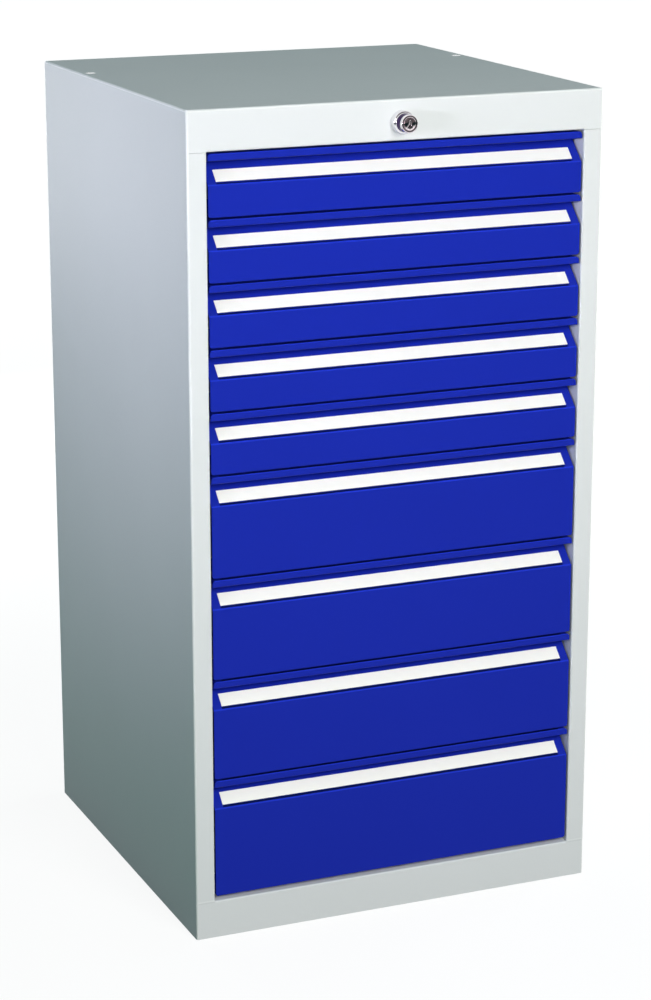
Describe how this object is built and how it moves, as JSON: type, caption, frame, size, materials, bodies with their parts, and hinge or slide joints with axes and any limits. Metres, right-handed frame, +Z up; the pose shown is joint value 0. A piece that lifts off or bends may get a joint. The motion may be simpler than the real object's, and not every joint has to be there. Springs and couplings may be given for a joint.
{
  "type": "industrial drawer cabinet",
  "caption": "Tall square sheet-steel workshop cabinet with shallow and deep full-width drawers that have recessed grips and label strips, and a central lock in the top rail.",
  "frame": {"origin": "centre of the cabinet's footprint, on the floor", "axes": "+Z up, -Y out of the drawers' fronts towards the user, +X to the user's right"},
  "size_m": [0.525, 0.5501, 1],
  "materials": {
    "carcass_grey": "satin powder coat, light grey",
    "tray_grey": "satin powder coat, light grey",
    "front_blue": "satin powder coat, ultramarine blue",
    "zinc_steel": "bright zinc plating",
    "lock_chrome": "polished",
    "label_white": "matte white strip",
    "plug_white": "matte moulded plastic"
  },
  "bodies": {
    "carcass": {"outer_shell": "carcass_grey", "back_panel": "carcass_grey", "base_panel": "carcass_grey", "uprights_left": "carcass_grey", "uprights_right": "carcass_grey", "cabinet_rails_left": "zinc_steel", "cabinet_rails_right": "zinc_steel", "top_plugs": "plug_white", "lock_housing": "lock_chrome", "lock_nut": "zinc_steel", "spindle_bracket": "zinc_steel", "bar_guides": "zinc_steel"},
    "lock": {"lock_plug": "lock_chrome", "lock_spindle": "zinc_steel"},
    "locking_bar": {"lock_bar": "zinc_steel"},
    "drawer_1": {"drawer_front_1": "front_blue", "drawer_tray_1": "tray_grey", "label_strip_1": "label_white", "drawer_runners_1": "zinc_steel"},
    "slide_members_1": {"mid_rails_1": "zinc_steel"},
    "drawer_2": {"drawer_front_2": "front_blue", "drawer_tray_2": "tray_grey", "label_strip_2": "label_white", "drawer_runners_2": "zinc_steel"},
    "slide_members_2": {"mid_rails_2": "zinc_steel"},
    "drawer_3": {"drawer_front_3": "front_blue", "drawer_tray_3": "tray_grey", "label_strip_3": "label_white", "drawer_runners_3": "zinc_steel"},
    "slide_members_3": {"mid_rails_3": "zinc_steel"},
    "drawer_4": {"drawer_front_4": "front_blue", "drawer_tray_4": "tray_grey", "label_strip_4": "label_white", "drawer_runners_4": "zinc_steel"},
    "slide_members_4": {"mid_rails_4": "zinc_steel"},
    "drawer_5": {"drawer_front_5": "front_blue", "drawer_tray_5": "tray_grey", "label_strip_5": "label_white", "drawer_runners_5": "zinc_steel"},
    "slide_members_5": {"mid_rails_5": "zinc_steel"},
    "drawer_6": {"drawer_front_6": "front_blue", "drawer_tray_6": "tray_grey", "label_strip_6": "label_white", "drawer_runners_6": "zinc_steel"},
    "slide_members_6": {"mid_rails_6": "zinc_steel"},
    "drawer_7": {"drawer_front_7": "front_blue", "drawer_tray_7": "tray_grey", "label_strip_7": "label_white", "drawer_runners_7": "zinc_steel"},
    "slide_members_7": {"mid_rails_7": "zinc_steel"},
    "drawer_8": {"drawer_front_8": "front_blue", "drawer_tray_8": "tray_grey", "label_strip_8": "label_white", "drawer_runners_8": "zinc_steel"},
    "slide_members_8": {"mid_rails_8": "zinc_steel"},
    "drawer_9": {"drawer_front_9": "front_blue", "drawer_tray_9": "tray_grey", "label_strip_9": "label_white", "drawer_runners_9": "zinc_steel"},
    "slide_members_9": {"mid_rails_9": "zinc_steel"}
  },
  "joints": [
    {"name": "lock_turn", "type": "hinge", "parent": "carcass", "child": "lock", "pos_m": [0, -0.2625, 0.974], "axis": [0, 1, 0], "range_deg": [0, 90]},
    {"name": "lock_bar_lift", "type": "slide", "parent": "carcass", "child": "locking_bar", "axis": [0, 0, 1], "range_m": [0, 0.0113]},
    {"name": "drawer_1_slide", "type": "slide", "parent": "carcass", "child": "drawer_1", "axis": [0, -1, 0], "range_m": [0, 0.45]},
    {"name": "slide_members_1_slide", "type": "slide", "parent": "carcass", "child": "slide_members_1", "axis": [0, -1, 0], "range_m": [0, 0.225]},
    {"name": "drawer_2_slide", "type": "slide", "parent": "carcass", "child": "drawer_2", "axis": [0, -1, 0], "range_m": [0, 0.45]},
    {"name": "slide_members_2_slide", "type": "slide", "parent": "carcass", "child": "slide_members_2", "axis": [0, -1, 0], "range_m": [0, 0.225]},
    {"name": "drawer_3_slide", "type": "slide", "parent": "carcass", "child": "drawer_3", "axis": [0, -1, 0], "range_m": [0, 0.45]},
    {"name": "slide_members_3_slide", "type": "slide", "parent": "carcass", "child": "slide_members_3", "axis": [0, -1, 0], "range_m": [0, 0.225]},
    {"name": "drawer_4_slide", "type": "slide", "parent": "carcass", "child": "drawer_4", "axis": [0, -1, 0], "range_m": [0, 0.45]},
    {"name": "slide_members_4_slide", "type": "slide", "parent": "carcass", "child": "slide_members_4", "axis": [0, -1, 0], "range_m": [0, 0.225]},
    {"name": "drawer_5_slide", "type": "slide", "parent": "carcass", "child": "drawer_5", "axis": [0, -1, 0], "range_m": [0, 0.45]},
    {"name": "slide_members_5_slide", "type": "slide", "parent": "carcass", "child": "slide_members_5", "axis": [0, -1, 0], "range_m": [0, 0.225]},
    {"name": "drawer_6_slide", "type": "slide", "parent": "carcass", "child": "drawer_6", "axis": [0, -1, 0], "range_m": [0, 0.45]},
    {"name": "slide_members_6_slide", "type": "slide", "parent": "carcass", "child": "slide_members_6", "axis": [0, -1, 0], "range_m": [0, 0.225]},
    {"name": "drawer_7_slide", "type": "slide", "parent": "carcass", "child": "drawer_7", "axis": [0, -1, 0], "range_m": [0, 0.45]},
    {"name": "slide_members_7_slide", "type": "slide", "parent": "carcass", "child": "slide_members_7", "axis": [0, -1, 0], "range_m": [0, 0.225]},
    {"name": "drawer_8_slide", "type": "slide", "parent": "carcass", "child": "drawer_8", "axis": [0, -1, 0], "range_m": [0, 0.45]},
    {"name": "slide_members_8_slide", "type": "slide", "parent": "carcass", "child": "slide_members_8", "axis": [0, -1, 0], "range_m": [0, 0.225]},
    {"name": "drawer_9_slide", "type": "slide", "parent": "carcass", "child": "drawer_9", "axis": [0, -1, 0], "range_m": [0, 0.45]},
    {"name": "slide_members_9_slide", "type": "slide", "parent": "carcass", "child": "slide_members_9", "axis": [0, -1, 0], "range_m": [0, 0.225]}
  ],
  "couplings": [
    {"joint": "lock_turn", "follows": "lock_bar_lift", "rad_per_m": 138.83},
    {"joint": "slide_members_1_slide", "follows": "drawer_1_slide", "ratio": 0.5},
    {"joint": "slide_members_2_slide", "follows": "drawer_2_slide", "ratio": 0.5},
    {"joint": "slide_members_3_slide", "follows": "drawer_3_slide", "ratio": 0.5},
    {"joint": "slide_members_4_slide", "follows": "drawer_4_slide", "ratio": 0.5},
    {"joint": "slide_members_5_slide", "follows": "drawer_5_slide", "ratio": 0.5},
    {"joint": "slide_members_6_slide", "follows": "drawer_6_slide", "ratio": 0.5},
    {"joint": "slide_members_7_slide", "follows": "drawer_7_slide", "ratio": 0.5},
    {"joint": "slide_members_8_slide", "follows": "drawer_8_slide", "ratio": 0.5},
    {"joint": "slide_members_9_slide", "follows": "drawer_9_slide", "ratio": 0.5}
  ]
}
